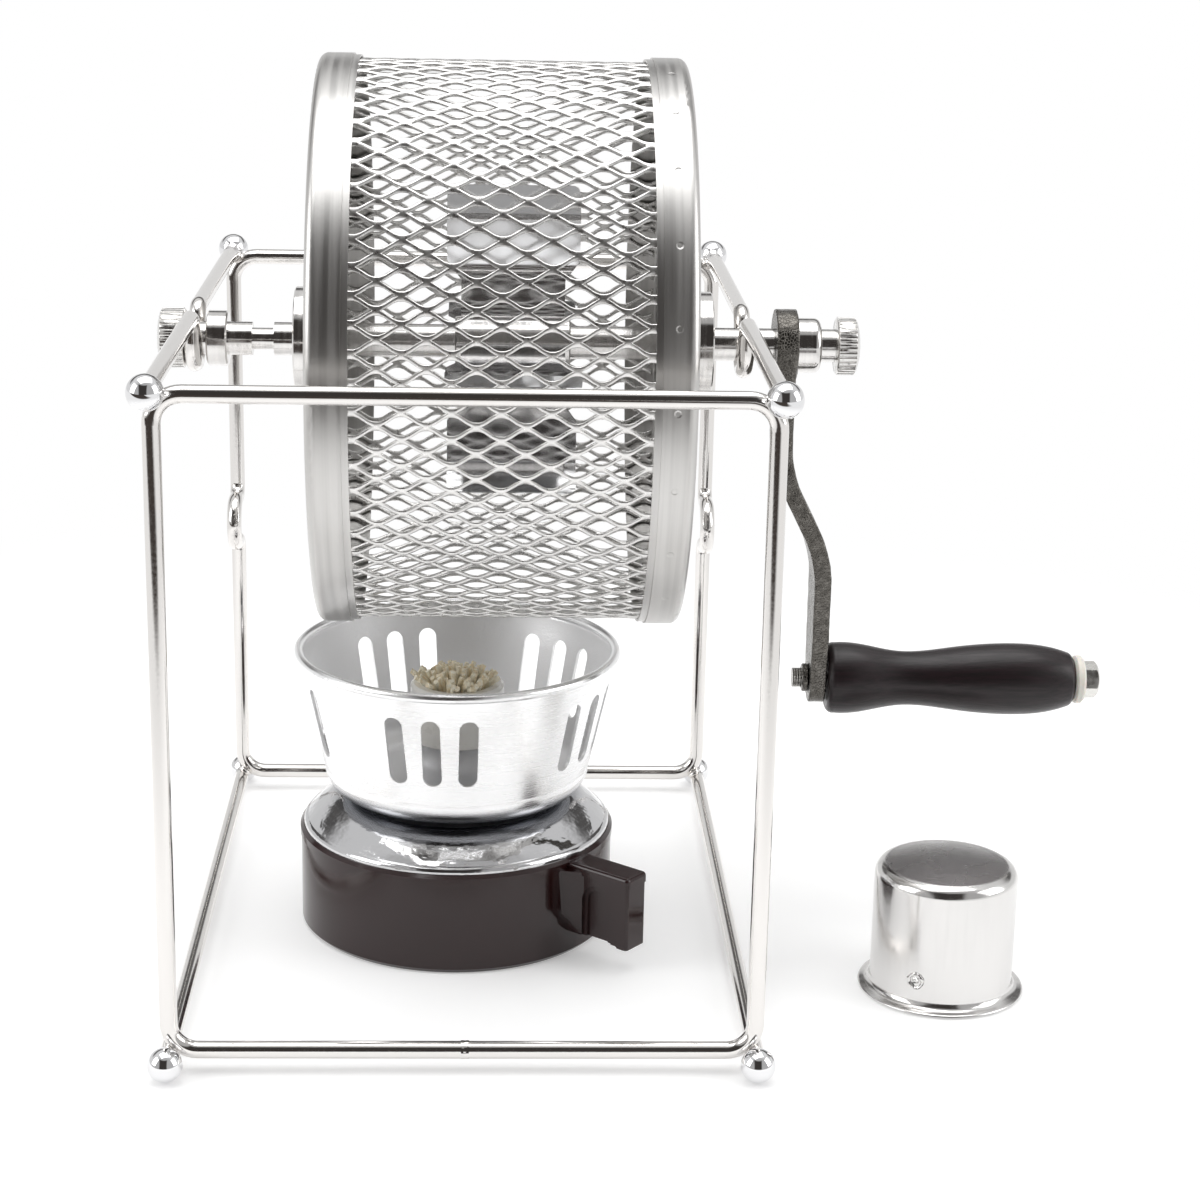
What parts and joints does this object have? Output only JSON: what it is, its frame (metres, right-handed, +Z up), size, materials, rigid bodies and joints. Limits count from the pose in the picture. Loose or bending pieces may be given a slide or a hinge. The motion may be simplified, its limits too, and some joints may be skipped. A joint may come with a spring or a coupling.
{
  "type": "stovetop coffee bean roaster",
  "caption": "Hand-cranked mesh drum roaster on a ball-footed wire frame, with spirit burner, slotted windshield and snuffer cap.",
  "frame": {"origin": "centre of the burner's underside, on the table", "axes": "+X along the shaft towards the crank, +Y away from the side it is cranked from, +Z up"},
  "size_m": [0.2915, 0.247, 0.2717],
  "materials": {
    "polished_wire": "polished nickel-plated wire",
    "chrome_ball": "bright chrome",
    "turned_steel": "fine turned",
    "satin_steel": "satin, drawn",
    "mesh_steel": "expanded sheet, bright edges",
    "vane_steel": "mirror sheet",
    "forged_iron": "dark bronzed, hammered",
    "dark_wood": "stained and lacquered",
    "zinc_steel": "zinc plated",
    "white_nylon": "matt",
    "brown_plastic": "glossy moulded",
    "bright_tank": "polished sheet",
    "white_ceramic": "glazed",
    "cotton": "loose cotton yarn",
    "spun_aluminium": "bright satin",
    "cap_steel": "polished drawn steel"
  },
  "bodies": {
    "frame": {"front_loop": "polished_wire", "back_loop": "polished_wire", "top_rod_left": "polished_wire", "top_rod_right": "polished_wire", "bottom_rod_left": "polished_wire", "bottom_rod_right": "polished_wire", "top_balls": "chrome_ball", "foot_balls": "chrome_ball"},
    "drum": {"shaft": "turned_steel", "right_hub": "turned_steel", "right_end_cap": "satin_steel", "drum_mesh": "mesh_steel", "agitator_sleeve": "turned_steel", "agitator_vane_1": "vane_steel", "agitator_vane_2": "vane_steel", "agitator_vane_3": "vane_steel", "agitator_vane_4": "vane_steel", "left_collar": "turned_steel", "left_thumb_nut": "turned_steel", "crank_arm": "forged_iron", "crank_collar_nut": "turned_steel", "crank_thumb_screw": "turned_steel", "grip_bolt": "zinc_steel", "grip_washer": "white_nylon", "bolt_retaining_ring": "forged_iron"},
    "lid": {"left_end_cap": "satin_steel", "left_hub": "turned_steel"},
    "grip": {"grip": "dark_wood"},
    "burner": {"burner_base": "brown_plastic", "fuel_tank": "bright_tank", "tank_top": "bright_tank", "tank_neck": "bright_tank"},
    "windshield": {"windshield": "spun_aluminium"},
    "wick_holder": {"wick_holder": "white_ceramic", "wick": "cotton"},
    "snuffer_cap": {"snuffer_cap": "cap_steel"}
  },
  "joints": [
    {"name": "drum_spin", "type": "hinge", "parent": "frame", "child": "drum", "pos_m": [0.0035, -0.0045, 0.1872], "axis": [1, 0, 0], "continuous": true},
    {"name": "lid_slide", "type": "slide", "parent": "drum", "child": "lid", "axis": [-1, 0, 0], "range_m": [0, 0.019]},
    {"name": "grip_spin", "type": "hinge", "parent": "drum", "child": "grip", "pos_m": [0.1535, -0.0045, 0.0815], "axis": [1, 0, 0], "continuous": true},
    {"name": "burner_slide", "type": "slide", "parent": "frame", "child": "burner", "axis": [0, 1, 0], "range_m": [-0.04, 0.04]},
    {"name": "windshield_lift", "type": "slide", "parent": "burner", "child": "windshield", "axis": [0, 0, 1], "range_m": [0, 0.011]},
    {"name": "wick_holder_lift", "type": "slide", "parent": "burner", "child": "wick_holder", "axis": [0, 0, 1], "range_m": [0, 0.014]},
    {"name": "snuffer_cap_lift", "type": "slide", "parent": "frame", "child": "snuffer_cap", "axis": [0, 0, 1], "range_m": [0, 0.035]}
  ]
}
